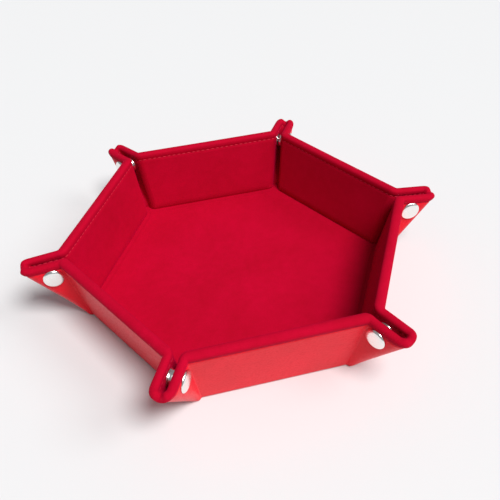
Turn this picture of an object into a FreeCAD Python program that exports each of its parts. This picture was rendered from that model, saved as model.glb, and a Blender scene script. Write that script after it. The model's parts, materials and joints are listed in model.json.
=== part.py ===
import FreeCAD, Part
import math
import os
import Sketcher

# A folding six-sided dice tray in its standing form.
# One sheet of soft leather outside and one sheet of velvet inside hold seven stiff boards,
# a hexagon and six walls. The cloth between two walls folds out into a pinched ear, and a
# snap holds each ear shut. With the snaps open the walls and ears lie down flat.
#
# +Z is up and the underside of the base is Z 0, below the middle of the tray.
# Corner 1 points along +X, and corners and walls count up counter-clockwise from above.
# "Left" and "right" at a corner are as seen by someone who faces the tray from outside.

doc = FreeCAD.newDocument("DiceTray")

# Driving sizes, in millimetres and degrees.
DRIVING_SIZES = [
    ("base_side", 94.0),
    ("wall_height", 46.0),
    ("wall_angle", 78.0),
    ("cover_thickness", 1.2),
    ("board_thickness", 2.3),
    ("lining_thickness", 1.5),
    ("ear_lining_thickness", 2.6),
    ("fold_clearance", 0.1),
    ("base_board_inset", 4.4),
    ("wall_board_inset", 4.0),
    ("base_cover_rounding", 3.0),
    ("base_board_rounding", 4.0),
    ("rim_turn", 1.8),
    ("rim_rounding", 1.5),
    ("cover_edge_rounding", 0.6),
    ("ear_half_width", 6.0),
    ("ear_start", 5.2),
    ("ear_tip_rounding", 5.0),
    ("nose_split_angle", 45.0),
    ("nose_gap", 0.8),
    ("snap_reach", 6.9),
    ("snap_drop", 9.5),
    ("cap_radius", 5.9),
    ("cap_height", 1.9),
    ("cap_taper", 0.6),
    ("post_radius", 1.8),
    ("post_clearance", 0.1),
    ("socket_radius", 4.8),
    ("socket_floor", 0.8),
    ("stud_flange_radius", 4.6),
    ("stud_flange_thickness", 0.8),
    ("stud_radius", 2.5),
    ("stud_clearance", 0.6),
    ("stud_tip_clearance", 0.8),
    ("snap_face_clearance", 0.4),
]
CORNER_COUNT = 6
SLOPE_CORNER = 30.0

sheet = doc.addObject("Spreadsheet::Sheet", "Sizes")
for row, (alias, number) in enumerate(DRIVING_SIZES, start=1):
    sheet.set("A%d" % row, alias)
    sheet.set("B%d" % row, str(number))
    sheet.setAlias("B%d" % row, alias)
doc.recompute()


class Size:
    """A number and the sheet formula that gives it, so that a sketch can be bound to the sheet."""

    def __init__(self, value, formula):
        self.value = float(value)
        self.formula = formula

    @staticmethod
    def of(thing):
        return thing if isinstance(thing, Size) else Size(thing, repr(float(thing)))

    def __add__(self, other):
        other = Size.of(other)
        return Size(self.value + other.value, "(%s + %s)" % (self.formula, other.formula))

    def __sub__(self, other):
        other = Size.of(other)
        return Size(self.value - other.value, "(%s - %s)" % (self.formula, other.formula))

    def __mul__(self, other):
        other = Size.of(other)
        return Size(self.value * other.value, "(%s * %s)" % (self.formula, other.formula))

    def __truediv__(self, other):
        other = Size.of(other)
        return Size(self.value / other.value, "(%s / %s)" % (self.formula, other.formula))

    def __radd__(self, other):
        return Size.of(other) + self

    def __rsub__(self, other):
        return Size.of(other) - self

    def __rmul__(self, other):
        return Size.of(other) * self

    def __neg__(self):
        return Size(-self.value, "(-1 * %s)" % self.formula)


def sine(angle):
    angle = Size.of(angle)
    return Size(math.sin(math.radians(angle.value)), "sin(%s)" % angle.formula)


def cosine(angle):
    angle = Size.of(angle)
    return Size(math.cos(math.radians(angle.value)), "cos(%s)" % angle.formula)


def tangent(angle):
    return sine(angle) / cosine(angle)


def root(number):
    return Size(math.sqrt(number.value), "sqrt(%s)" % number.formula)


size = {alias: Size(getattr(sheet, alias), "Sizes.%s" % alias) for alias, number in DRIVING_SIZES}


# The folds of the standing tray.
# The crease between a wall and its ear is where the wall's outer face meets the ear's outer
# face, which is parallel to the corner's plane of symmetry. Its slope is worked out from the
# wall's angle, and it flares out from the wall's own slope line.
rise = sine(size["wall_angle"]) * cosine(SLOPE_CORNER)
lean = cosine(size["wall_angle"])
crease_length = root(rise * rise + lean * lean)
crease_up = rise / crease_length
crease_out = lean / crease_length
flare_cosine = cosine(SLOPE_CORNER) / crease_length
flare_sine = root(1.0 - flare_cosine * flare_cosine)

# In the ear's own face, the nose line leans out from the crease by the rest of the corner's
# half share of cloth, so that the two noses of a corner lie side by side when the tray is flat.
sector_sine = sine(SLOPE_CORNER) * flare_cosine - cosine(SLOPE_CORNER) * flare_sine
sector_cosine = cosine(SLOPE_CORNER) * flare_cosine + sine(SLOPE_CORNER) * flare_sine
nose_out = crease_out * sector_cosine + crease_up * sector_sine
nose_up = crease_up * sector_cosine - crease_out * sector_sine

# The leather of the ear's nose is a half circle, and its length is what the flat cloth has.
HALF_TURN_SLACK = math.pi / 2 - 1
nose_start = -(HALF_TURN_SLACK * size["ear_half_width"])
nose_reach = nose_start + size["ear_half_width"]

# How far the crease starts from the corner of the base, along the wall's lower edge.
crease_foot = size["ear_half_width"] / cosine(SLOPE_CORNER)
ear_thickness = size["cover_thickness"] + size["ear_lining_thickness"]
slit_width = (size["ear_half_width"] - ear_thickness) * 2
board_top = size["cover_thickness"] + size["board_thickness"]
lining_top = board_top + size["lining_thickness"]
base_apothem = size["base_side"] * cosine(SLOPE_CORNER)

# The snap's place in the ear's face, from the crease and from the ear's top edge.
top_corner_across = -(size["wall_height"] / flare_cosine * sector_sine)
top_corner_along = size["wall_height"] / flare_cosine * sector_cosine
edge_across = sine(60.0)
edge_along = cosine(60.0)
drop_share = edge_along * sector_cosine - edge_across * sector_sine
reach_share = edge_across * sector_cosine + edge_along * sector_sine
snap_run = (size["snap_reach"] - size["snap_drop"] * drop_share) / reach_share
snap_across = top_corner_across + snap_run * edge_across + size["snap_drop"] * edge_along
snap_along = top_corner_along + snap_run * edge_along - size["snap_drop"] * edge_across


# Sketches


def bind(sketch, constraint, name, length):
    """Names a constraint and ties it to the sheet."""
    index = sketch.addConstraint(constraint)
    sketch.renameConstraint(index, name)
    sketch.setExpression("Constraints.%s" % name, length.formula)


def short_arc(start, end, centre):
    """The short way round from one point to the other, about the centre."""
    circle = Part.Circle(centre, FreeCAD.Vector(0, 0, 1), (start - centre).Length)
    first, last = circle.parameter(start), circle.parameter(end)
    if (last - first) % (2 * math.pi) > math.pi:
        first, last = last, first
    return Part.ArcOfCircle(circle, first, last)


def draw(sketch, outline, holes=()):
    """Draws a closed outline, each corner bound to the sheet.

    A corner is (x, y), or (x, y, radius, centre x, centre y) where a round stretch ends in it.
    """
    corners = [FreeCAD.Vector(Size.of(c[0]).value, Size.of(c[1]).value, 0) for c in outline]
    count = len(outline)
    edges = []
    for index in range(count):
        start = corners[index]
        end = corners[(index + 1) % count]
        goal = outline[(index + 1) % count]
        if len(goal) == 2:
            edges.append(sketch.addGeometry(Part.LineSegment(start, end), False))
            continue
        centre = FreeCAD.Vector(Size.of(goal[3]).value, Size.of(goal[4]).value, 0)
        edges.append(sketch.addGeometry(short_arc(start, end, centre), False))

    def end_near(edge, point):
        geometry = sketch.Geometry[edge]
        first = (geometry.StartPoint - point).Length
        last = (geometry.EndPoint - point).Length
        return 1 if first < last else 2

    for index in range(count):
        point = corners[index]
        edge = edges[index]
        before = edges[index - 1]
        here = end_near(edge, point)
        joint = Sketcher.Constraint("Coincident", before, end_near(before, point), edge, here)
        sketch.addConstraint(joint)
        x, y = Size.of(outline[index][0]), Size.of(outline[index][1])
        across = Sketcher.Constraint("DistanceX", -1, 1, edge, here, x.value)
        along = Sketcher.Constraint("DistanceY", -1, 1, edge, here, y.value)
        bind(sketch, across, "x%d" % index, x)
        bind(sketch, along, "y%d" % index, y)
        goal = outline[(index + 1) % count]
        if len(goal) > 2:
            radius = Sketcher.Constraint("Radius", edge, goal[2].value)
            bind(sketch, radius, "radius%d" % index, goal[2])
    for index, (x, y, radius) in enumerate(holes):
        centre = FreeCAD.Vector(x.value, y.value, 0)
        circle = Part.Circle(centre, FreeCAD.Vector(0, 0, 1), radius.value)
        edge = sketch.addGeometry(circle, False)
        across = Sketcher.Constraint("DistanceX", -1, 1, edge, 3, x.value)
        along = Sketcher.Constraint("DistanceY", -1, 1, edge, 3, y.value)
        round_size = Sketcher.Constraint("Radius", edge, radius.value)
        bind(sketch, across, "hole_x%d" % index, x)
        bind(sketch, along, "hole_y%d" % index, y)
        bind(sketch, round_size, "hole_radius%d" % index, radius)


def new_body(name):
    return doc.addObject("PartDesign::Body", name)


def body_sketch(body, name, plane, outline, holes=()):
    """A sketch on one of the body's own origin planes."""
    sketch = body.newObject("Sketcher::SketchObject", name)
    role = plane + "_Plane"
    support = [f for f in body.Origin.OriginFeatures if f.Role == role][0]
    sketch.AttachmentSupport = [(support, "")]
    sketch.MapMode = "FlatFace"
    draw(sketch, outline, holes)
    return sketch


def pad(body, name, sketch, length, both_ways=False, taper=None):
    feature = body.newObject("PartDesign::Pad", name)
    feature.Profile = sketch
    feature.Length = length.value
    feature.setExpression("Length", length.formula)
    if both_ways:
        feature.SideType = "Symmetric"
    if taper is not None:
        feature.TaperAngle = taper.value
        feature.setExpression("TaperAngle", taper.formula)
    sketch.Visibility = False
    doc.recompute()
    return feature


def round_edges(body, name, feature, radius, chosen):
    """Rounds the edges of the feature that the test picks out."""
    picks = ["Edge%d" % (i + 1) for i, edge in enumerate(feature.Shape.Edges) if chosen(edge)]
    rounding = body.newObject("PartDesign::Fillet", name)
    rounding.Base = (feature, picks)
    rounding.Radius = radius.value
    rounding.setExpression("Radius", radius.formula)
    doc.recompute()
    return rounding


def stands_up(edge):
    """True for an edge that crosses the thickness of a panel."""
    ends = [vertex.Point for vertex in edge.Vertexes]
    return len(ends) == 2 and abs(ends[0].z - ends[1].z) > 0.01


def slab_of(name, plane, outline, length, holes=()):
    """A prism on both sides of its sketch."""
    body = new_body(name)
    sketch = body_sketch(body, name + "_outline", plane, outline, holes)
    pad(body, name + "_pad", sketch, length, both_ways=True)
    return body


def common(name, first, second):
    """What two shapes share."""
    shared = doc.addObject("Part::Common", name)
    shared.Base = first
    shared.Tool = second
    doc.recompute()
    return shared


# The base: leather, board and velvet, with the leather mitred for the fold at its edges.


def hexagon(inset):
    """Corners of the base's outline, moved in from its edges."""
    radius = (base_apothem - inset) / cosine(SLOPE_CORNER)
    turns = [360.0 / CORNER_COUNT * n for n in range(CORNER_COUNT)]
    return [(radius * cosine(turn), radius * sine(turn)) for turn in turns]


def base_cover():
    body = new_body("base_cover_body")
    sketch = body_sketch(body, "base_cover_outline", "XY", hexagon(size["fold_clearance"]))
    mitre = -(size["wall_angle"] / 2)
    sheet_of_leather = pad(body, "base_cover_pad", sketch, size["cover_thickness"], taper=mitre)
    round_edges(body, "base_cover_corners", sheet_of_leather, size["base_cover_rounding"], stands_up)
    return body


def base_layer(name, thickness):
    body = new_body(name + "_body")
    sketch = body_sketch(body, name + "_outline", "XY", hexagon(size["base_board_inset"]))
    layer = pad(body, name + "_pad", sketch, thickness)
    round_edges(body, name + "_corners", layer, size["base_board_rounding"], stands_up)
    return body


# A wall, drawn lying flat: X along its lower edge, Y up its slope, Z into the tray.


def wall_outline():
    clear = size["fold_clearance"] / flare_cosine
    foot = size["base_side"] / 2 - crease_foot - clear
    head = foot + size["wall_height"] * flare_sine / flare_cosine
    low = size["fold_clearance"]
    low_x = foot + low * flare_sine / flare_cosine
    return [(-low_x, low), (low_x, low), (head, size["wall_height"]), (-head, size["wall_height"])]


def wall_section(layer):
    """The section of one layer of the wall, across its lower edge."""
    top = size["wall_height"]
    skin = size["cover_thickness"]
    if layer == "cover":
        turn = size["cover_edge_rounding"]
        low = size["fold_clearance"]
        mitre = low + skin * tangent(size["wall_angle"] / 2)
        return [
            (low, 0.0),
            (top - turn, 0.0),
            (top, turn, turn, top - turn, turn),
            (top, skin),
            (mitre, skin),
        ]
    if layer == "board":
        under_rim = top - size["rim_turn"]
        foot = size["wall_board_inset"]
        return [(foot, skin), (under_rim, skin), (under_rim, board_top), (foot, board_top)]
    turn = size["rim_rounding"]
    return [
        (size["wall_board_inset"], board_top),
        (top - size["rim_turn"], board_top),
        (top - size["rim_turn"], skin),
        (top, skin),
        (top, lining_top - turn),
        (top - turn, lining_top, turn, top - turn, lining_top - turn),
        (size["wall_board_inset"], lining_top),
    ]


def wall_layers():
    shapes = {}
    outline = slab_of("wall_blank", "XY", wall_outline(), lining_top * 4)
    for layer in ("cover", "board", "lining"):
        strip = slab_of("wall_%s_strip" % layer, "YZ", wall_section(layer), size["base_side"] * 3)
        shapes[layer] = common("wall_%s_shape" % layer, outline, strip)
    return shapes


# An ear's panel, drawn in its own face: Y up the nose line, Z into the ear's slit, and X out
# across the nose. Its hand is 1 for the right panel of a corner and -1 for the left one.


def ear_outline(hand):
    clear = size["fold_clearance"] / sector_cosine
    low = size["ear_start"]
    slope = sector_sine / sector_cosine
    low_x = clear - low * slope
    corner_x = top_corner_across + clear
    rim_rise = edge_along / edge_across
    corner_y = top_corner_along + clear * rim_rise
    peak_y = top_corner_along + (nose_reach - top_corner_across) * rim_rise
    beyond = nose_reach + size["fold_clearance"]
    peak = peak_y + size["fold_clearance"] * rim_rise
    corners = [(low_x, low), (beyond, low), (beyond, peak), (corner_x, corner_y)]
    return [(x * hand, y) for x, y in corners]


def ear_blank(hand, side):
    """A prism with the ear's side view: its tip is rounded and the snap's hole goes through."""
    body = new_body("ear_%s_blank" % side)
    hole = (snap_across * hand, snap_along, size["post_radius"] + size["post_clearance"])
    sketch = body_sketch(body, "ear_%s_outline" % side, "XY", ear_outline(hand), [hole])
    blank = pad(body, "ear_%s_pad" % side, sketch, size["ear_half_width"] * 4, both_ways=True)
    tip = max(blank.Shape.Vertexes, key=lambda v: v.Point.y).Point

    def at_tip(edge):
        ends = [vertex.Point for vertex in edge.Vertexes]
        return stands_up(edge) and len(ends) == 2 and abs(ends[0].y - tip.y) < 0.01

    round_edges(body, "ear_%s_tip" % side, blank, size["ear_tip_rounding"], at_tip)
    return body


def on_nose(hand, radius, angle):
    """A point of the nose's section, at a radius and an angle round from the ear's face."""
    across = nose_start + radius * sine(angle)
    return across * hand, size["ear_half_width"] - radius * cosine(angle)


def panel_section(hand):
    """Section of the ear's panel: its face, then the near part of the nose."""
    outer = size["ear_half_width"]
    inner = outer - ear_thickness
    split = size["nose_split_angle"]
    centre = (nose_start * hand, size["ear_half_width"])
    far = -(size["wall_height"]) * hand
    return [
        (far, 0.0),
        (nose_start * hand, 0.0),
        on_nose(hand, outer, split) + (outer,) + centre,
        on_nose(hand, inner, split),
        (nose_start * hand, ear_thickness, inner) + centre,
        (far, ear_thickness),
    ]


def nose_section(hand):
    """Section of the rest of the nose, as far as the corner's plane of symmetry."""
    outer = size["ear_half_width"]
    inner = outer - ear_thickness
    centre = (nose_start * hand, size["ear_half_width"])
    clear = size["fold_clearance"]
    start = size["nose_split_angle"]
    gap_line = size["nose_gap"]
    end_z = outer - gap_line
    outer_end = (nose_start + root(outer * outer - gap_line * gap_line)) * hand
    inner_end = (nose_start + root(inner * inner - gap_line * gap_line)) * hand
    outer_x, outer_z = on_nose(hand, outer, start)
    inner_x, inner_z = on_nose(hand, inner, start)
    shift = clear * cosine(start)
    return [
        (outer_x + shift * hand, outer_z + shift),
        (outer_end, end_z, outer) + centre,
        (inner_end, end_z),
        (inner_x + shift * hand, inner_z + shift, inner) + centre,
    ]


def ear_pieces(hand, side):
    """The panel and the nose of one side of an ear, leather and velvet glued together."""
    blank = ear_blank(hand, side)
    shapes = {}
    for part, section in (("panel", panel_section), ("nose", nose_section)):
        name = "ear_%s_%s" % (side, part)
        strip = slab_of(name + "_strip", "XZ", section(hand), size["wall_height"] * 4)
        shapes[part] = common(name + "_shape", blank, strip)
    return shapes


# A snap, drawn about its own axis: Z 0 is the ear's outer face and +Z points into the slit.


def turned(name, profile):
    """A solid of revolution from points given as radius and height."""
    body = new_body(name + "_body")
    sketch = body_sketch(body, name + "_profile", "XZ", profile)
    turn = body.newObject("PartDesign::Revolution", name + "_turn")
    turn.Profile = sketch
    turn.ReferenceAxis = (sketch, ["V_Axis"])
    turn.Angle = 360
    sketch.Visibility = False
    doc.recompute()
    return body


def cap():
    """The profile of a snap's cap, and of the post that goes through the ear's panel."""
    return [
        (0.0, -size["cap_height"]),
        (size["cap_radius"] - size["cap_taper"], -size["cap_height"]),
        (size["cap_radius"], 0.0),
        (size["post_radius"], 0.0),
        (size["post_radius"], ear_thickness),
    ]


def snap_socket():
    """The cap on the left panel, riveted to the ring that the stud snaps into."""
    ring = size["socket_radius"]
    bore = size["stud_radius"] + size["stud_clearance"]
    top = ear_thickness + slit_width - size["stud_flange_thickness"] - size["snap_face_clearance"]
    floor = ear_thickness + size["socket_floor"]
    seat = [(ring, ear_thickness), (ring, top), (bore, top), (bore, floor), (0.0, floor)]
    return turned("snap_socket", cap() + seat)


def snap_stud():
    """The cap on the right panel, riveted to the stud and its flange."""
    rim = size["stud_flange_radius"]
    head = size["stud_radius"]
    flange = ear_thickness + size["stud_flange_thickness"]
    tip = ear_thickness + slit_width - size["socket_floor"] - size["stud_tip_clearance"]
    stud = [(rim, ear_thickness), (rim, flange), (head, flange), (head, tip), (0.0, tip)]
    return turned("snap_stud", cap() + stud)


# Places in the standing tray


def azimuth(angle):
    turn = math.radians(angle)
    return FreeCAD.Vector(math.cos(turn), math.sin(turn), 0)


UP = FreeCAD.Vector(0, 0, 1)


def wall_place(number):
    """Stands a wall on its edge of the base, at the wall's angle."""
    outward = azimuth(60.0 * number - 30.0)
    angle = math.radians(size["wall_angle"].value)
    slope = outward * math.cos(angle) + UP * math.sin(angle)
    inward = UP * math.cos(angle) - outward * math.sin(angle)
    turn = FreeCAD.Rotation(slope.cross(inward), slope, inward, "XYZ")
    return FreeCAD.Placement(outward * base_apothem.value, turn)


def ear_place(corner, hand):
    """Stands an ear's panel beside its corner's plane of symmetry."""
    outward = azimuth(60.0 * (corner - 1))
    sideways = UP.cross(outward)
    half = size["ear_half_width"].value
    foot = outward * (size["base_side"].value - half * math.tan(math.radians(SLOPE_CORNER)))
    nose = outward * nose_out.value + UP * nose_up.value
    inward = sideways * -hand
    turn = FreeCAD.Rotation(nose.cross(inward), nose, inward, "XYZ")
    return FreeCAD.Placement(foot + sideways * (half * hand), turn)


def snap_place(corner, hand):
    place = ear_place(corner, hand)
    centre = FreeCAD.Vector(snap_across.value * hand, snap_along.value, 0)
    return FreeCAD.Placement(place.multVec(centre), place.Rotation)


nodes = {}


def node(name, shape, place):
    """One sub-part of the tray, in its place."""
    part = doc.addObject("Part::Compound", name)
    part.Label = name
    part.Links = [shape]
    part.Placement = place
    nodes[name] = part


base_lift = {"base_cover": Size.of(0.0), "base_board": size["cover_thickness"], "base_lining": board_top}
base_shapes = {
    "base_cover": base_cover(),
    "base_board": base_layer("base_board", size["board_thickness"]),
    "base_lining": base_layer("base_lining", size["lining_thickness"]),
}
for name, shape in base_shapes.items():
    node(name, shape, FreeCAD.Placement(UP * base_lift[name].value, FreeCAD.Rotation()))

wall_shapes = wall_layers()
HANDS = {"left": -1, "right": 1}
ear_shapes = {side: ear_pieces(hand, side) for side, hand in HANDS.items()}
snap_shapes = {"left": snap_socket(), "right": snap_stud()}
SNAP_NAMES = {"left": "snap_socket", "right": "snap_stud"}

for number in range(1, CORNER_COUNT + 1):
    for layer, shape in wall_shapes.items():
        node("wall_%d_%s" % (number, layer), shape, wall_place(number))
    for side, hand in HANDS.items():
        for part, shape in ear_shapes[side].items():
            node("corner_%d_%s_%s" % (number, side, part), shape, ear_place(number, hand))
        snap = "corner_%d_%s" % (number, SNAP_NAMES[side])
        node(snap, snap_shapes[side], snap_place(number, hand))

doc.recompute()

# Every object has to be sound before anything is written.
for thing in doc.Objects:
    if "Invalid" in thing.State or "Error" in thing.State:
        raise RuntimeError("%s did not build: %s" % (thing.Name, thing.State))
for name, part in nodes.items():
    if part.Shape.isNull() or not part.Shape.isValid() or not part.Shape.Solids:
        raise RuntimeError("%s has no sound solid" % name)

os.makedirs("parts", exist_ok=True)
for name, part in nodes.items():
    part.Shape.exportStep("parts/%s.step" % name)
print("%d nodes written" % len(nodes))
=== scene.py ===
# %% [markdown]
# # A folding dice tray, dressed
#
# The real tray is a sheet of soft leather and a sheet of velvet with boards between them, sewn together
# round the rim. At each corner the cloth is pinched into an ear, and a snap holds the ear shut. The
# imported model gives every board, flap and snap its place. This file puts cloth, stitching and metal on
# it. Lengths are in millimetres, and `mm` turns them into the metres that Blender uses.

# %% Frame
import json
import math

import bmesh
import bpy
from mathutils import Matrix, Vector


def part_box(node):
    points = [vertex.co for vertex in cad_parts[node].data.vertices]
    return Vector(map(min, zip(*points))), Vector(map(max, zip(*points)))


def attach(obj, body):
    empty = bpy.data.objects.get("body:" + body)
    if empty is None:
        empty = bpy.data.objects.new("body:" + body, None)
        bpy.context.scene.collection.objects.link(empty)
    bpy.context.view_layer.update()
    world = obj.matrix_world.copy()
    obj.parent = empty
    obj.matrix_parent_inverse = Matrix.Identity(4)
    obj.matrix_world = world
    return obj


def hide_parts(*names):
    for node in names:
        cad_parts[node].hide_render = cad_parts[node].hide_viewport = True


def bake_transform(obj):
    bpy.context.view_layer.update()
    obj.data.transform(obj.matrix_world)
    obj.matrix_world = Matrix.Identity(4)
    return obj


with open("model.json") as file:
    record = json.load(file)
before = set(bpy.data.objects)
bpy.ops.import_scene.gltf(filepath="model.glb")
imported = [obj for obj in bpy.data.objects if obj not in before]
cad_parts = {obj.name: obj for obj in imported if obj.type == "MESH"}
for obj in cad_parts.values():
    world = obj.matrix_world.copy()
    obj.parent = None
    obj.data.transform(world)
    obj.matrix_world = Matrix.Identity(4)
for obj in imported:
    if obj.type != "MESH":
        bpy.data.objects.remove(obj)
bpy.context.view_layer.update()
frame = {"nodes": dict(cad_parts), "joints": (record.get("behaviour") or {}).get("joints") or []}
mm = 0.001

# %% [markdown]
# ## The folds, read from the hinges
#
# Cloth is flat before it is folded, so each sheet below starts as a flat grid, and one function says
# where its points go. All twelve half corners are alike, so the folds are written down once, for a wall
# that faces +X and the ear at its +Y end. A matrix then turns or mirrors the finished cloth to its own
# wall. The creases and the nose lines come from the hinges of the frame, so they can't drift from it.

# %% Folds
joints = {joint["name"]: joint for joint in frame["joints"]}


def hinge_place(name):
    return Vector(joints[name]["pos_m"]) / mm


def hinge_axis(name):
    return Vector(joints[name]["axis"]).normalized()


CORNERS = 6
HALF_TURN = math.radians(30)
UP = Vector((0, 0, 1))
wall_out = Vector((1, 0, 0))
corner_out = Vector((math.cos(HALF_TURN), math.sin(HALF_TURN), 0))
to_wall = Vector((math.sin(HALF_TURN), -math.cos(HALF_TURN), 0))

apothem = hinge_place("wall_1_fold").length
crease_foot = hinge_place("corner_1_right_fold")
half_width = crease_foot.y
crease_1 = hinge_axis("corner_1_right_fold") * -1
nose_1 = hinge_axis("corner_1_right_nose_bend")

crease = corner_out * crease_1.x + UP * crease_1.z
nose = corner_out * nose_1.x + UP * nose_1.z
across_nose = corner_out * nose_1.z - UP * nose_1.x
foot = corner_out * crease_foot.x + to_wall * half_width
slope = (crease - Vector((0, crease.y, 0))).normalized()
wall_in = Vector((-slope.z, 0, slope.x))
ear_in = -to_wall
wall_to_crease = wall_in.cross(crease)
crease_to_ear = ear_in.cross(crease)
crease_angle = wall_in.angle(ear_in)
print("apothem %.2f mm, wall at %.2f degrees, crease bends %.2f degrees"
      % (apothem, math.degrees(math.atan2(slope.z, slope.x)), math.degrees(crease_angle)))

# %% [markdown]
# ## Sizes of the cloth
#
# The thicknesses repeat what the solids hold: leather outside, velvet inside, and a stiff board between
# them in the walls. In the ears there is no board, only a thicker padding under the velvet. The rim is
# where the velvet turns over the board and meets the leather's edge. A lip is the strip of a wall's
# cloth that lies on the base, and a lap is the small step between sheets that lie on one another.

# %% Sizes
WALL_HEIGHT = 46.0
LEATHER = 1.2
VELVET = 1.4
WALL_THICKNESS = 5.0
EAR_THICKNESS = 3.8
FLOOR_TOP = 5.0
CREASE_ROUNDING = 1.2
BASE_ROUNDING = 1.6
FLOOR_ROUNDING = 1.6
FLOOR_TUCK = 2.0
EAR_FLOOR_SHARE = 0.3
RIM_CROWN = 1.9
RIM_PROUD = 0.4
RIM_TURN_DOWN = 2.4
STITCH_DROP = 4.6
NOSE_START = -half_width * (math.pi / 2 - 1)
NOSE_REACH = NOSE_START + half_width
TIP_DROP = 3.0
FLAP_AT_FOOT = 0.7
NOSE_FLOOR_ROOM = 0.25
LIP = 3.0
LAP = 0.05
NOSE_WALL = 0.3
GROOVE_DEPTH = 0.42
GROOVE_WIDTH = 0.55
BEAD_HEIGHT = 0.35
BEAD_WIDTH = 1.5
BEAD_DROP = 2.3

crease_set_back = CREASE_ROUNDING * math.tan(crease_angle / 2)
edge_slope = math.tan(HALF_TURN)
foot_slope = -across_nose.z / nose.z
print("nose reaches %.2f mm past the crease's foot" % NOSE_REACH)

# %% [markdown]
# ## Where a point of the cloth goes
#
# A place on the half sector has three numbers. `along` runs from the middle of the wall (0) to the
# crease (1), through the crease's bend (1 to 2), over the flat of the ear (2 to 3) and round its nose
# (3 to 4), where the other half of the ear begins. `height` is the distance up the cloth from the
# base's edge, and `depth` is how far inside the outer leather the point lies.
#
# A chain of Simple Deform modifiers could bend a grid too, but their angles would have to be tuned to
# the hinges. With the folds as a formula, the leather, the velvet, the rim and every stitch follow the
# same surface at their own depth.

# %% Fold function


def blend_between(a, b, share):
    return a + (b - a) * share


def soft_max(a, b, softness=1.2):
    return (a + b + math.sqrt((a - b) ** 2 + softness**2)) / 2


def crease_point(height):
    return foot + crease * (height / crease.dot(slope))


def ear_axes(height):
    """The crease and the start of the nose at a height, in the ear's own plane."""
    offset = crease_point(height) - foot
    crease_x, crease_y = offset.dot(across_nose), offset.dot(nose)
    nose_x = soft_max(NOSE_START, crease_x + FLAP_AT_FOOT)
    share = height / WALL_HEIGHT
    return crease_x, crease_y, nose_x, blend_between(foot_slope, edge_slope, share)


def fold(along, height, depth):
    """The folded place of a point of the flat cloth, in millimetres."""
    at_crease = crease_point(height)
    if along <= 1:
        middle = wall_out * apothem + slope * height
        end = at_crease - wall_to_crease * crease_set_back
        return blend_between(middle, end, along) + wall_in * depth
    if along <= 2:
        turn = crease_angle * (along - 1)
        centre = at_crease - wall_to_crease * crease_set_back - wall_in * CREASE_ROUNDING
        direction = wall_in * math.cos(turn) + wall_to_crease * math.sin(turn)
        return centre + direction * (CREASE_ROUNDING + depth)
    crease_x, crease_y, nose_x, row_slope = ear_axes(height)
    if along <= 3:
        start = at_crease + crease_to_ear * crease_set_back
        end = foot + across_nose * nose_x + nose * (crease_y + (nose_x - crease_x) * row_slope)
        return blend_between(start, end, along - 2) + ear_in * depth
    turn = math.pi / 2 * (along - 3)
    reach = NOSE_REACH - nose_x
    x = nose_x + reach * math.sin(turn)
    rise = crease_y + (x - crease_x) * row_slope
    rise -= TIP_DROP * (height / WALL_HEIGHT) ** 2 * math.sin(turn) ** 4
    x -= min(depth, reach - NOSE_WALL) * math.sin(turn)
    inward = half_width - (half_width - depth) * math.cos(turn)
    return foot + across_nose * x + nose * rise + ear_in * inward


def inner_depth(along):
    """How deep the velvet's face lies: the wall holds a board, and the ear doesn't."""
    share = min(max(along - 1, 0), 1)
    return blend_between(WALL_THICKNESS, EAR_THICKNESS, share)


print("ear tip at", [round(v, 1) for v in fold(4, WALL_HEIGHT, 0)])

# %% [markdown]
# ## Rows of the cloth
#
# A row is a height and a depth. The leather has a rounded fold along the base's edge, a flat wall, a
# pressed groove where the stitches pull it in, and a padded bead above that. The velvet starts in a
# crease that is tucked in at the foot of the wall, has the same groove, and turns over the rim.
#
# Both folds at the bottom are Bezier curves, drawn from three points: where the fold starts, where its
# corner pulls to, and where it ends. The same lines serve the wall, the crease and the nose.

# %% Row functions


def bezier(a, b, c, share):
    return a * (1 - share) ** 2 + b * 2 * share * (1 - share) + c * share**2


def inward_at(along):
    """The level direction square to the line that the cloth draws on the table at this column."""
    ahead = fold(min(along + 0.01, 3), 0, 0) - fold(max(along - 0.01, 0), 0, 0)
    return Vector((-ahead.y, ahead.x, 0)).normalized()


def inward_of(along, point, distance, room=math.inf):
    """A point moved level, away from the outer leather, and round the nose no further than its room."""
    if along > 3:
        turn = math.pi / 2 * (along - 3)
        toward_tray = corner_out * math.sin(turn) * min(distance, room)
        return point + ear_in * math.cos(turn) * distance - toward_tray
    return point + inward_at(along) * distance


def slit_share(along, corner):
    """How much of the floor's fold and lip fits before it would cross the middle of the slit."""
    toward_middle = -inward_at(along).dot(to_wall)
    if along > 3 or toward_middle < 0.01:
        return 1
    return (corner.dot(to_wall) - LAP) / toward_middle / (FLOOR_ROUNDING + LIP)


def pressed(drop):
    """How far the stitches press the cloth in, at a distance below the rim."""
    groove = GROOVE_DEPTH * math.exp(-((drop - STITCH_DROP) / GROOVE_WIDTH) ** 2)
    bead = BEAD_HEIGHT * math.exp(-((drop - BEAD_DROP) / BEAD_WIDTH) ** 2)
    return groove - bead


def leather_point(along, row):
    """Rows below 0 are under the base, 0 to 1 the bottom fold, above that millimetres up plus 1."""
    if row <= 1:
        corner = fold(along, 0, 0)
        below = inward_of(along, corner, BASE_ROUNDING)
        above = fold(along, BASE_ROUNDING, 0)
        return bezier(below, corner, above, row) if row >= 0 else inward_of(along, below, -row)
    height = BASE_ROUNDING + row - 1
    return fold(along, height, pressed(WALL_HEIGHT - height))


def floor_corner(along):
    """Where the velvet's wall face would meet the floor if the fold were sharp."""
    depth = inner_depth(along)
    low = fold(along, 0, depth).z
    high = fold(along, 10, depth).z
    return 10 * (FLOOR_TOP - low) / (high - low), depth


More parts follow.
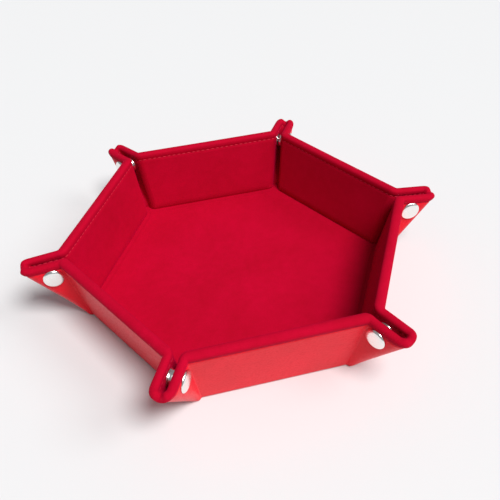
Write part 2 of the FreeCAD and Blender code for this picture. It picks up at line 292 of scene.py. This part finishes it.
def velvet_point(along, row):
    """Rows: the floor below 0, its crease 0 to 1, the wall 1 to 2, the rim 2 to 3, down outside 3 to 4."""
    height, depth = floor_corner(along)
    corner = fold(along, height, depth)
    share = blend_between(1, EAR_FLOOR_SHARE, min(max(along - 1, 0), 1))
    share = min(share, slit_share(along, corner))
    rounding = FLOOR_ROUNDING * share
    if row <= 1:
        below = inward_of(along, corner, rounding, NOSE_FLOOR_ROOM)
        above = fold(along, height + rounding, depth)
        tucked = inward_of(along, corner, -FLOOR_TUCK * share) - UP * FLOOR_TUCK * share
        return bezier(below, tucked, above, row) if row >= 0 else inward_of(along, below, -row * share)
    top = WALL_HEIGHT - RIM_CROWN
    if row <= 2:
        height = blend_between(height + rounding, top, row - 1)
        return fold(along, height, depth - pressed(WALL_HEIGHT - height))
    turn = math.pi * min(row - 2, 1)
    inner = depth - pressed(RIM_CROWN)
    middle = (inner - RIM_PROUD) / 2
    reach = (inner + RIM_PROUD) / 2
    down = max(row - 3, 0)
    height = top + RIM_CROWN * math.sin(turn) - RIM_TURN_DOWN * down
    return fold(along, height, middle + reach * math.cos(turn) + RIM_PROUD * down**3)


# %% [markdown]
# ## Laying a sheet
#
# `create_grid` makes the flat cloth, and the fold function moves its points, as hands would fold it.
# Solidify then gives it its thickness behind the shown face. Each sheet is one piece per body or bend:
# the wall, the bend at the crease, and the bend of the nose. They meet edge to edge.

# %% Sheet helpers


def stations(*stretches):
    """Evenly spaced values over each stretch, given as (start, end, steps)."""
    values = [stretches[0][0]]
    for start, end, steps in stretches:
        values += [start + (end - start) * step / steps for step in range(1, steps + 1)]
    return values


def flat_grid(columns, rows, place):
    """A grid with one point for each column and row, moved to its folded place."""
    sheet = bmesh.new()
    wide, tall = len(columns) - 1, len(rows) - 1
    bmesh.ops.create_grid(sheet, x_segments=wide, y_segments=tall, size=0.5)
    for vertex in sheet.verts:
        column = columns[round((vertex.co.x + 0.5) * wide)]
        row = rows[round((vertex.co.y + 0.5) * tall)]
        vertex.co = place(column, row)
    return sheet


def sector_matrix(wall, end):
    """Turns the half sector to its wall, and mirrors it for the end that lies clockwise."""
    turn = math.radians(30 + 60 * (wall - 1))
    return Matrix.Rotation(turn, 4, "Z") @ Matrix.Diagonal((mm, mm * end, mm, 1))


def finish_piece(name, shape, matrix, material):
    """Turns a bmesh in millimetres into an object at the origin, with its place in its mesh."""
    shape.transform(matrix)
    if matrix.determinant() < 0:
        bmesh.ops.reverse_faces(shape, faces=shape.faces)
    for face in shape.faces:
        face.smooth = True
    for edge in shape.edges:
        edge.smooth = not edge.is_boundary
    mesh = bpy.data.meshes.new(name)
    shape.to_mesh(mesh)
    shape.free()
    piece = bpy.data.objects.new(name, mesh)
    bpy.context.scene.collection.objects.link(piece)
    mesh.materials.append(material)
    return piece


def add_thickness(piece, thickness):
    solidify = piece.modifiers.new("thickness", "SOLIDIFY")
    solidify.thickness = thickness * mm
    solidify.offset = -1
    return piece


def lay_cloth(name, cloth, columns, rows, place, matrix):
    """A sheet of leather or velvet. A grid's faces look outwards, so the velvet is turned round."""
    shape = flat_grid(columns, rows, place)
    if cloth["inward"]:
        bmesh.ops.reverse_faces(shape, faces=shape.faces)
    piece = finish_piece(name, shape, matrix, cloth["material"])
    return add_thickness(piece, cloth["thickness"])


# %% [markdown]
# ## Shader maths as Python
#
# A material is a net of nodes, and writing `1 - mask * 2` is easier to read than three Math nodes. The
# small class below wraps a socket, and its operators add the nodes. `Finish.node` makes any other node
# from its type, its settings and its inputs.

# %% Shader helper


class Value:
    """A number that a node gives, with the usual operators."""

    def __init__(self, finish, socket):
        self.finish = finish
        self.socket = socket

    def math(self, operation, other=None, swap=False):
        pair = [self] if other is None else [self, other]
        if swap:
            pair.reverse()
        return self.finish.node("ShaderNodeMath", {"operation": operation}, dict(enumerate(pair)))

    def __add__(self, other):
        return self.math("ADD", other)

    def __sub__(self, other):
        return self.math("SUBTRACT", other)

    def __mul__(self, other):
        return self.math("MULTIPLY", other)

    def __rsub__(self, other):
        return self.math("SUBTRACT", other, swap=True)

    __radd__ = __add__
    __rmul__ = __mul__


class Finish:
    """A material and the one method that adds nodes to it."""

    def __init__(self, name):
        self.material = bpy.data.materials.new(name)
        self.material.use_nodes = True
        self.tree = self.material.node_tree
        self.shader = self.tree.nodes["Principled BSDF"]
        self.place = self.node("ShaderNodeTexCoord", {}, {}, "Object")

    def node(self, kind, settings, inputs, output=0):
        made = self.tree.nodes.new(kind)
        for key, setting in settings.items():
            setattr(made, key, setting)
        for key, given in inputs.items():
            if isinstance(given, Value):
                self.tree.links.new(given.socket, made.inputs[key])
            else:
                made.inputs[key].default_value = given
        return Value(self, made.outputs[output])

    def noise(self, scale, detail=2.0, roughness=0.5):
        inputs = {"Vector": self.place, "Scale": scale, "Detail": detail, "Roughness": roughness}
        return self.node("ShaderNodeTexNoise", {}, inputs, "Fac")

    def cells(self, scale, feature="F1"):
        inputs = {"Vector": self.place, "Scale": scale}
        return self.node("ShaderNodeTexVoronoi", {"feature": feature}, inputs, "Distance")

    def range(self, value, low, high, to_low=0.0, to_high=1.0):
        inputs = {"Value": value, "From Min": low, "From Max": high, "To Min": to_low, "To Max": to_high}
        return self.node("ShaderNodeMapRange", {}, inputs)

    def mix(self, share, first, second):
        inputs = {"Factor": share, 6: first, 7: second}
        return self.node("ShaderNodeMix", {"data_type": "RGBA"}, inputs, 2)

    def bump(self, height, distance, strength=1.0, after=None):
        inputs = {"Height": height, "Distance": distance, "Strength": strength}
        if after is not None:
            inputs["Normal"] = after
        return self.node("ShaderNodeBump", {}, inputs)

    def set(self, **sockets):
        for name, given in sockets.items():
            socket = self.shader.inputs[name.replace("_", " ")]
            if isinstance(given, Value):
                self.tree.links.new(given.socket, socket)
            else:
                socket.default_value = given


# %% [markdown]
# ## Leather
#
# The outside is smooth coated leather with a fine pebble. Its colour hardly changes, and what shows is
# the broad gloss. The pebble is a Voronoi pattern under a bump, the creases between pebbles are a
# little rougher and darker, and a slow noise keeps a large wall from looking printed.

# %% Leather finish


def leather_finish():
    finish = Finish("red_leather")
    pebble = finish.cells(1150.0, "SMOOTH_F1")
    drift = finish.noise(45.0, 3.0)
    fine = finish.noise(2600.0, 2.0)
    valley = finish.range(pebble, 0.25, 0.75)
    tone = finish.mix(finish.range(drift, 0.3, 0.7), (0.74, 0.004, 0.018, 1), (0.84, 0.006, 0.026, 1))
    colour = finish.mix(valley * 0.35, tone, (0.60, 0.003, 0.014, 1))
    relief = finish.bump(1 - valley + fine * 0.2, 0.00010, 0.35)
    finish.set(
        Base_Color=colour,
        Roughness=finish.range(valley + drift * 0.5, 0.0, 1.5, 0.30, 0.48),
        Normal=relief,
        Specular_IOR_Level=0.15,
        Coat_Weight=0.03,
        Coat_Roughness=0.2,
    )
    return finish.material


# %% [markdown]
# ## Velvet
#
# Velvet is short pile. It is dull seen straight on and bright where it is seen along the pile, which is
# what the sheen lobe does. A slow noise is the pile brushed this way and that, and a fine one is the
# pile itself.

# %% Velvet finish


def velvet_finish():
    finish = Finish("crimson_velvet")
    brushed = finish.noise(28.0, 4.0, 0.6)
    pile = finish.noise(2400.0, 3.0, 0.7)
    streak = finish.noise(210.0, 3.0, 0.6)
    mask = finish.range(brushed * 0.65 + streak * 0.35, 0.32, 0.68)
    tone = finish.mix(mask, (0.43, 0.0, 0.016, 1), (0.54, 0.0, 0.026, 1))
    colour = finish.mix(finish.range(pile, 0.35, 0.75) * 0.4, tone, (0.29, 0.0, 0.009, 1))
    relief = finish.bump(pile, 0.00035, 0.6)
    finish.set(
        Base_Color=colour,
        Roughness=finish.range(pile, 0.2, 0.8, 0.75, 0.95),
        Normal=relief,
        Specular_IOR_Level=0.08,
        Sheen_Weight=0.3,
        Sheen_Roughness=0.35,
        Sheen_Tint=(1.0, 0.0, 0.12, 1),
    )
    return finish.material


# %% [markdown]
# ## Thread, snap metal and board
#
# The thread is the cloth's red with a twist in it. The snaps are bright nickel with a faint brushed
# haze. The boards are grey pasteboard with fibres; they only show when the cloth is taken off.

# %% Other finishes


def thread_finish():
    finish = Finish("red_thread")
    twist = finish.noise(5200.0, 1.0)
    finish.set(
        Base_Color=finish.mix(twist, (0.40, 0.004, 0.018, 1), (0.72, 0.02, 0.06, 1)),
        Roughness=finish.range(twist, 0.2, 0.8, 0.45, 0.65),
        Normal=finish.bump(twist, 0.00008, 0.5),
        Specular_IOR_Level=0.2,
    )
    return finish.material


def nickel_finish():
    finish = Finish("bright_nickel")
    haze = finish.noise(900.0, 4.0, 0.7)
    smudge = finish.noise(160.0, 3.0)
    finish.set(
        Base_Color=finish.mix(smudge, (0.86, 0.85, 0.82, 1), (0.95, 0.945, 0.93, 1)),
        Roughness=finish.range(haze + smudge * 0.5, 0.4, 1.1, 0.16, 0.32),
        Normal=finish.bump(haze, 0.00002, 0.2),
        Metallic=1.0,
    )
    return finish.material


def board_finish():
    finish = Finish("grey_pasteboard")
    fibre = finish.noise(700.0, 5.0, 0.7)
    finish.set(
        Base_Color=finish.mix(fibre, (0.24, 0.21, 0.17, 1), (0.42, 0.38, 0.32, 1)),
        Roughness=finish.range(fibre, 0.2, 0.8, 0.8, 0.95),
        Normal=finish.bump(fibre, 0.0001, 0.4),
    )
    return finish.material


leather = leather_finish()
velvet = velvet_finish()
thread = thread_finish()
nickel = nickel_finish()
pasteboard = board_finish()
print("finishes:", len(bpy.data.materials))

# %% [markdown]
# ## Boards
#
# The boards keep their solids, which already have the right shape, and only get their finish.

# %% Boards
boards = [node for node in frame["nodes"].values() if node.name.endswith("board")]
for node in boards:
    node.data.materials.clear()
    node.data.materials.append(pasteboard)
print("boards:", len(boards))

# %% [markdown]
# ## Walls
#
# A wall's cloth runs over the bend at the base's edge. blend_at_base works out where that bend starts
# and ends, but uses neither: it only bakes the sheet's place into its mesh. Leather and velvet are
# separate sheets, as the real ones are.

# %% Walls
BLEND_REACH = 5.0
CLOTHS = {
    "leather": {
        "place": leather_point, "material": leather, "slot": "leather",
        "thickness": LEATHER, "inward": False, "level": 0.0, "replaces": "cover",
        "fold": stations((-LIP, 0, 2), (0, 0.95, 5), (0.95, 1, 1)),
        "rise": stations((1, 38, 12), (38, 44, 20)),
    },
    "velvet": {
        "place": velvet_point, "material": velvet, "slot": "velvet",
        "thickness": VELVET, "inward": True, "level": FLOOR_TOP, "replaces": "lining",
        "fold": stations((-LIP, 0, 2), (0, 0.95, 6), (0.95, 1, 1)),
        "rise": stations((1, 1.8, 10), (1.8, 2, 12), (2, 3, 16), (3, 4, 5)),
    },
}


def blend_at_base(piece, wall, depth):
    matrix = sector_matrix(wall, 1)
    corner = wall_out * apothem
    start = matrix @ (corner - wall_out * (BLEND_REACH + depth))
    end = matrix @ (corner + slope * (BLEND_REACH + depth))
    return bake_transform(piece)


def both_halves(place):
    """The same cloth on either side of the wall's middle."""
    def mirrored(along, row):
        point = place(abs(along), row)
        return Vector((point.x, math.copysign(point.y, along), point.z))
    return mirrored


for wall in range(1, CORNERS + 1):
    for name, cloth in CLOTHS.items():
        rows = cloth["fold"] + cloth["rise"][1:]
        columns = stations((-1, 1, 40))
        place = both_halves(cloth["place"])
        matrix = sector_matrix(wall, 1)
        sheet = lay_cloth("wall_%d_%s" % (wall, name), cloth, columns, rows, place, matrix)
        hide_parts("wall_%d_%s" % (wall, cloth["replaces"]))
        blend_at_base(sheet, wall, cloth["level"])
print("wall sheets:", 2 * CORNERS)

# %% [markdown]
# ## Ears
#
# Each half of an ear has two sheets of each cloth: one goes round the crease from the wall, and the
# next goes round the nose. On the middle line of the ear, the two halves meet. The fold at the foot of
# the crease is a piece of its own. The blend functions work out where each bend starts and ends, but
# use neither: they only bake each piece's place into its mesh.

# %% Ears
EAR_SPLIT = 2.5
BEND_PAST_CREASE = 0.3
BEND_BEFORE_NOSE = 0.5
FLAP_COLUMNS = stations((1, 1.05, 1), (1.05, 1.95, 10), (1.95, 2, 1), (2, EAR_SPLIT, 4))
NOSE_COLUMNS = stations((EAR_SPLIT, 3, 4), (3, 3.05, 1), (3.05, 3.95, 12), (3.95, 4, 2))


def ear_bodies(wall, end):
    """The corner's number and side for the ear at one end of a wall."""
    if end > 0:
        return wall % CORNERS + 1, "left"
    return wall, "right"


def blend_at_crease(piece, wall, end, inside):
    """Works out where the bend at the crease would start, where the wall's own sheet ends, and where it
    would end, at the depth of this cloth, but uses neither: it only bakes the piece's place into its mesh.
    """
    matrix = sector_matrix(wall, end)
    middle = WALL_HEIGHT / 2
    start = matrix @ fold(1, middle, WALL_THICKNESS if inside else 0)
    finish = matrix @ (fold(2, middle, EAR_THICKNESS if inside else 0) + crease_to_ear * BEND_PAST_CREASE)
    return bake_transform(piece)


def blend_at_nose(piece, wall, end):
    matrix = sector_matrix(wall, end)
    start = matrix @ (foot + across_nose * (NOSE_START - BEND_BEFORE_NOSE))
    finish = matrix @ (foot + across_nose * NOSE_REACH + ear_in * half_width)
    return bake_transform(piece)


ear_sheets = 0
for wall in range(1, CORNERS + 1):
    for end in (1, -1):
        corner, side = ear_bodies(wall, end)
        half = "corner_%d_%s_" % (corner, side)
        matrix = sector_matrix(wall, end)
        for name, cloth in CLOTHS.items():
            place, fold_rows, rise_rows = cloth["place"], cloth["fold"], cloth["rise"]
            crease_fold = lay_cloth(half + name + "_foot", cloth, FLAP_COLUMNS, fold_rows, place, matrix)
            blend_at_base(crease_fold, wall, cloth["level"])
            flap = lay_cloth(half + name, cloth, FLAP_COLUMNS, rise_rows, place, matrix)
            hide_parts(half + "panel")
            blend_at_crease(flap, wall, end, cloth["inward"])
            rows = [row for row in fold_rows if row >= 0] + rise_rows[1:]
            tip = lay_cloth(half + name + "_nose", cloth, NOSE_COLUMNS, rows, place, matrix)
            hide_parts(half + "nose")
            blend_at_nose(tip, wall, end)
            ear_sheets += 3
print("ear sheets:", ear_sheets)

# %% [markdown]
# ## Base
#
# Under the base the leather is one flat sheet, and inside lies the velvet floor. Each is a hexagon with
# rounded corners that reaches under the folds of the walls, so it still fills the corners when the
# tray is opened out. The velvet's corners run on into the slits of the ears. The folds lie on the
# sheets with a step too small to see.

# %% Base
BASE_SHEETS = [
    {"name": "base_leather", "cloth": "leather", "replaces": "base_cover", "level": LAP,
     "corner_out": 89.0, "corner_radius": 2.0, "sweep": 60},
    {"name": "base_velvet", "cloth": "velvet", "replaces": "base_lining", "level": FLOOR_TOP - LAP,
     "corner_out": 92.9, "corner_radius": 2.1, "sweep": 180},
]
CORNER_STEPS = 12

for sheet in BASE_SHEETS:
    cloth = CLOTHS[sheet["cloth"]]
    shape = bmesh.new()
    points = []
    for corner in range(CORNERS):
        middle = math.radians(60 * corner)
        for step in range(CORNER_STEPS + 1):
            angle = middle + math.radians(sheet["sweep"]) * (step / CORNER_STEPS - 0.5)
            x = sheet["corner_out"] * math.cos(middle) + sheet["corner_radius"] * math.cos(angle)
            y = sheet["corner_out"] * math.sin(middle) + sheet["corner_radius"] * math.sin(angle)
            points.append(shape.verts.new((x, y, sheet["level"])))
    face = shape.faces.new(points)
    if not cloth["inward"]:
        face.normal_flip()
    piece = finish_piece(sheet["name"], shape, Matrix.Scale(mm, 4), cloth["material"])
    add_thickness(piece, cloth["thickness"])
    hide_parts(sheet["replaces"])
    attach(piece, "base")

# %% [markdown]
# ## Stitching
#
# One line of stitches goes round the whole rim, on the leather and on the velvet. Each stitch is a
# small stretched ball with a few dozen faces, laid along the cloth at equal steps. Stitches that lie on
# a bend go through the same blend functions as the sheet under them, which only bake their place.

# %% Stitches
STITCH_STEP = 3.3
STITCH_LENGTH = 2.5
STITCH_WIDTH = 0.55
STITCH_SUNK = 0.12
FINE_STEPS = 400


def stitch_line(start, end, outside, both_ways=False):
    """Stitches along the rim between two columns, as one bmesh."""
    height = WALL_HEIGHT - STITCH_DROP

    def at(along):
        depth = pressed(STITCH_DROP) - STITCH_SUNK
        if not outside:
            depth = inner_depth(abs(along)) - depth
        point = fold(abs(along), height, depth)
        return Vector((point.x, math.copysign(point.y, along), point.z)) if both_ways else point

    fine = [at(start + (end - start) * step / FINE_STEPS) for step in range(FINE_STEPS + 1)]
    lengths = [0.0]
    for before, after in zip(fine, fine[1:]):
        lengths.append(lengths[-1] + (after - before).length)
    count = max(1, round(lengths[-1] / STITCH_STEP))
    line = bmesh.new()
    for number in range(count):
        wanted = lengths[-1] * (number + 0.5) / count
        step = min(range(1, FINE_STEPS), key=lambda i: abs(lengths[i] - wanted))
        direction = (fine[step + 1] - fine[step - 1]).normalized()
        turn = direction.to_track_quat("X", "Z").to_matrix().to_4x4()
        shape = Matrix.Diagonal((STITCH_LENGTH / 2, STITCH_WIDTH / 2, STITCH_WIDTH / 2, 1))
        matrix = Matrix.Translation(fine[step]) @ turn @ shape
        bmesh.ops.create_uvsphere(line, u_segments=8, v_segments=6, radius=1, matrix=matrix)
    return line


stitches = 0
for wall in range(1, CORNERS + 1):
    for outside in (True, False):
        face = "outer" if outside else "inner"
        line = stitch_line(-1, 1, outside, both_ways=True)
        name = "wall_%d_%s_stitches" % (wall, face)
        row = finish_piece(name, line, sector_matrix(wall, 1), thread)
        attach(row, "wall_%d" % wall)
        for end in (1, -1):
            corner, side = ear_bodies(wall, end)
            tag = "corner_%d_%s_%s" % (corner, side, face)
            matrix = sector_matrix(wall, end)
            line = stitch_line(1, EAR_SPLIT, outside)
            row = finish_piece(tag + "_stitches", line, matrix, thread)
            blend_at_crease(row, wall, end, not outside)
            line = stitch_line(EAR_SPLIT, 4, outside)
            row = finish_piece(tag + "_nose_stitches", line, matrix, thread)
            blend_at_nose(row, wall, end)
            stitches += 2
print("stitch rows:", stitches + 2 * CORNERS)

# %% [markdown]
# ## Snaps
#
# A snap is turned metal, so its parts are spun from a half profile, a list of radius and depth in
# millimetres, where depth 0 is the outer leather. The cap is a low dome with a rolled edge. Behind the
# flap sits the socket on one side of the ear and the stud on the other.

# %% Snaps
SNAP_STEPS = 40
snap_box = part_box("corner_1_snap_stud")
snap_out = (snap_box[0].x + snap_box[1].x) / 2 / mm
snap_up = (snap_box[0].z + snap_box[1].z) / 2 / mm
CAP = [(0, -1.9), (2.6, -1.82), (4.3, -1.62), (5.2, -1.28), (5.75, -0.78), (5.9, -0.3), (5.75, 0.0),
       (5.3, 0.05), (1.8, 0.05), (1.8, 4.2), (0, 4.2)]
SOCKET = [(1.95, 3.8), (4.6, 3.8), (4.8, 4.0), (4.8, 4.5), (4.45, 4.8), (4.3, 5.2), (4.3, 6.6),
          (4.0, 7.0), (3.35, 7.0), (3.1, 6.7), (3.15, 6.3), (3.4, 6.0), (3.4, 4.6), (1.95, 4.6)]
STUD = [(1.95, 3.8), (4.4, 3.8), (4.6, 4.0), (4.6, 4.4), (4.4, 4.6), (2.4, 4.6), (2.2, 4.8), (2.5, 5.5),
        (2.4, 6.2), (1.9, 6.6), (0, 6.6), (0, 6.0), (1.95, 6.0)]


def turned(profile, closed):
    """Spins a half profile, given as radius and depth, about the snap's axis."""
    shape = bmesh.new()
    points = [shape.verts.new((radius, 0, depth)) for radius, depth in profile]
    edges = [shape.edges.new(pair) for pair in zip(points, points[1:])]
    if closed:
        edges.append(shape.edges.new((points[-1], points[0])))
    bmesh.ops.spin(
        shape, geom=points + edges, cent=(0, 0, 0), axis=(0, 0, 1),
        angle=math.tau, steps=SNAP_STEPS, use_merge=True,
    )
    bmesh.ops.remove_doubles(shape, verts=shape.verts, dist=0.001)
    bmesh.ops.recalc_face_normals(shape, faces=shape.faces)
    return shape


def snap_matrix(wall, end):
    """Puts a turned part on the ear: its axis points from the outer leather into the slit."""
    axis = ear_in
    right = corner_out
    ahead = axis.cross(right)
    centre = corner_out * snap_out + UP * snap_up + to_wall * half_width
    turn = Matrix((right, ahead, axis)).transposed().to_4x4()
    return sector_matrix(wall, end) @ Matrix.Translation(centre) @ turn


def metal_piece(name, profile, closed, wall, end, body):
    piece = finish_piece(name, turned(profile, closed), snap_matrix(wall, end), nickel)
    rounding = piece.modifiers.new("rounding", "SUBSURF")
    rounding.levels = rounding.render_levels = 1
    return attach(piece, body)


for wall in range(1, CORNERS + 1):
    for end in (1, -1):
        corner, side = ear_bodies(wall, end)
        body = "corner_%d_%s_panel" % (corner, side)
        half = "socket" if side == "left" else "stud"
        profile = SOCKET if side == "left" else STUD
        cap = metal_piece("corner_%d_%s_cap" % (corner, half), CAP, False, wall, end, body)
        inner = metal_piece("corner_%d_%s" % (corner, half), profile, side == "left", wall, end, body)
        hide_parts("corner_%d_snap_%s" % (corner, half))
        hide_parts("corner_%d_snap_%s" % (corner, half))
print("snap parts:", 4 * CORNERS)

# %% [markdown]
# ## Table, light and camera
#
# The tray stands on a plain pale surface. One soft lamp is the key, in front and to the right as in
# the photograph, and a weaker one lets the right wall shade the floor. Both stand far away, so the
# table is lit evenly. The sky fills the rest, and it looks as pale as the table where it is seen.

# %% Table
TABLE_HALF_WIDTH = 3.0
TABLE_TOP = -0.0002
table_mesh = bpy.data.meshes.new("table")
table_shape = bmesh.new()
bmesh.ops.create_grid(table_shape, x_segments=1, y_segments=1, size=TABLE_HALF_WIDTH)
table_shape.to_mesh(table_mesh)
table_shape.free()
table = bpy.data.objects.new("table", table_mesh)
table.location.z = TABLE_TOP
bpy.context.scene.collection.objects.link(table)
table_finish = Finish("pale_table")
table_finish.set(Base_Color=(0.72, 0.72, 0.72, 1), Roughness=0.7)
table_mesh.materials.append(table_finish.material)

# %% Light
SKY_AS_LIGHT = 0.25
SKY_AS_SEEN = 1.0
world = bpy.data.worlds.new("studio")
bpy.context.scene.world = world
world.use_nodes = True
sky = world.node_tree.nodes["Background"]
sky.inputs["Color"].default_value = (0.93, 0.95, 1.0, 1)
seen = world.node_tree.nodes.new("ShaderNodeLightPath")
strength = world.node_tree.nodes.new("ShaderNodeMapRange")
strength.inputs["To Min"].default_value = SKY_AS_LIGHT
strength.inputs["To Max"].default_value = SKY_AS_SEEN
world.node_tree.links.new(seen.outputs["Is Camera Ray"], strength.inputs["Value"])
world.node_tree.links.new(strength.outputs["Result"], sky.inputs["Strength"])


def lamp(name, azimuth, elevation, spread, power):
    """A far lamp, given by where it stands in the sky and how wide it looks, in degrees."""
    light = bpy.data.lights.new(name, "SUN")
    light.energy = power
    light.angle = math.radians(spread)
    around, up = math.radians(azimuth), math.radians(elevation)
    place = Vector((math.cos(around) * math.cos(up), math.sin(around) * math.cos(up), math.sin(up)))
    holder = bpy.data.objects.new(name, light)
    holder.location = place
    holder.rotation_euler = (-place).to_track_quat("-Z", "Y").to_euler()
    bpy.context.scene.collection.objects.link(holder)


lamp("key", -62, 60, 24, 3.2)
lamp("right", -20, 42, 24, 0.8)

# %% [markdown]
# ## Camera
#
# The camera's place was worked out from the photograph by fitting the hexagon's corners: it looks down
# at about 42 degrees from a bit over 40 centimetres.

# %% Camera
AZIMUTH = math.radians(-102.59)
ELEVATION = math.radians(41.84)
ROLL = math.radians(-2.41)
DISTANCE = 0.4328
AIM = Vector((0.0127, 0.02425, 0))
FOCAL_PIXELS = 663.6
PICTURE = 500

back = Vector((
    math.cos(ELEVATION) * math.cos(AZIMUTH),
    math.cos(ELEVATION) * math.sin(AZIMUTH),
    math.sin(ELEVATION),
))
lens = bpy.data.cameras.new("camera")
lens.sensor_width = 36
lens.lens = FOCAL_PIXELS / PICTURE * lens.sensor_width
camera = bpy.data.objects.new("camera", lens)
bpy.context.scene.collection.objects.link(camera)
right = (-back).cross(UP).normalized()
above = right.cross(-back)
rolled_right = right * math.cos(ROLL) + above * math.sin(ROLL)
rolled_above = above * math.cos(ROLL) - right * math.sin(ROLL)
turn = Matrix((rolled_right, rolled_above, back)).transposed().to_4x4()
camera.matrix_world = Matrix.Translation(AIM + back * DISTANCE) @ turn
bpy.context.scene.camera = camera
bpy.context.scene.view_settings.view_transform = "Standard"
